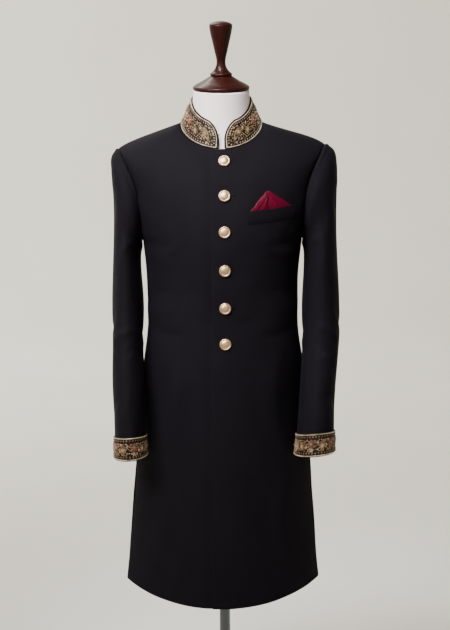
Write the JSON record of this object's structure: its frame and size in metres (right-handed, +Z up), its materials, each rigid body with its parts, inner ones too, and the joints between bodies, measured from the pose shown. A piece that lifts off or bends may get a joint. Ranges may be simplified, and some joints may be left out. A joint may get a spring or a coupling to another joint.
{
  "type": "sherwani on a dress form stand",
  "caption": "Long black band-collar sherwani with embroidered collar and cuff bands, domed buttons and a chest pocket square, on a limbless dress form with a round-based pole stand.",
  "frame": {"origin": "on the floor, at the centre of the stand's round base, on the pole's axis", "axes": "+Z up along the pole, -Y the way the coat faces, +X to the wearer's left; the floor plane is Z = 0"},
  "size_m": [0.4965, 0.36, 1.7297],
  "materials": {
    "black_wool": "smooth matt worsted suiting",
    "zari_band": "dense metallic thread and bead embroidery on a dark ground",
    "wine_silk": "satin silk",
    "rose_gold": "brushed pale rose gold plate",
    "white_jersey": "matt knitted jersey",
    "stained_wood": "glossy red-brown stain",
    "polished_steel": "polished"
  },
  "bodies": {
    "root": {"front_left": "black_wool", "front_right": "black_wool", "back_left": "black_wool", "back_right": "black_wool", "top_sleeve_left": "black_wool", "top_sleeve_right": "black_wool", "under_sleeve_left": "black_wool", "under_sleeve_right": "black_wool", "pocket_welt": "black_wool", "collar": "zari_band", "cuff_left": "zari_band", "cuff_right": "zari_band", "pocket_square": "wine_silk", "button_1": "rose_gold", "button_2": "rose_gold", "button_3": "rose_gold", "button_4": "rose_gold", "button_5": "rose_gold", "button_6": "rose_gold", "form_torso": "white_jersey", "neck_cap": "stained_wood", "finial": "stained_wood", "pole": "polished_steel", "base": "polished_steel"}
  },
  "joints": []
}
